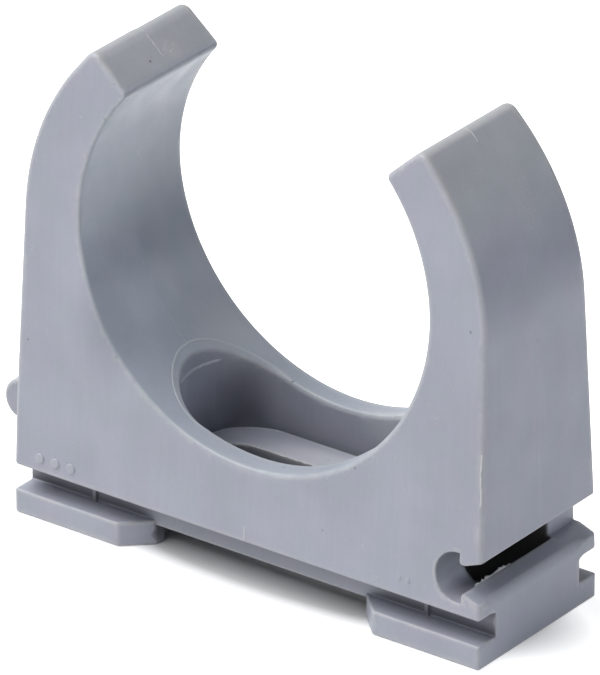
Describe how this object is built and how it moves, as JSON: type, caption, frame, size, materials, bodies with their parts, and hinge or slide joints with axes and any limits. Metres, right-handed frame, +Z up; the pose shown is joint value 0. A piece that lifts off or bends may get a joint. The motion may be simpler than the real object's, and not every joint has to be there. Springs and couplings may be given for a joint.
{
  "type": "conduit clip",
  "caption": "One-piece plastic spring clip that snaps round a conduit; screw pocket in the cradle, grooved feet for a rail, and a side nub and socket to link clips.",
  "frame": {"origin": "on the screw's axis, in the plane of the feet's soles", "axes": "+X across the conduit towards the link socket, +Y along the conduit towards the socket's stop, +Z up from the mounting surface"},
  "size_m": [0.0468, 0.0148, 0.039],
  "materials": {
    "grey_plastic": "satin moulded grey plastic"
  },
  "bodies": {
    "root": {"clip": "grey_plastic"}
  },
  "joints": []
}
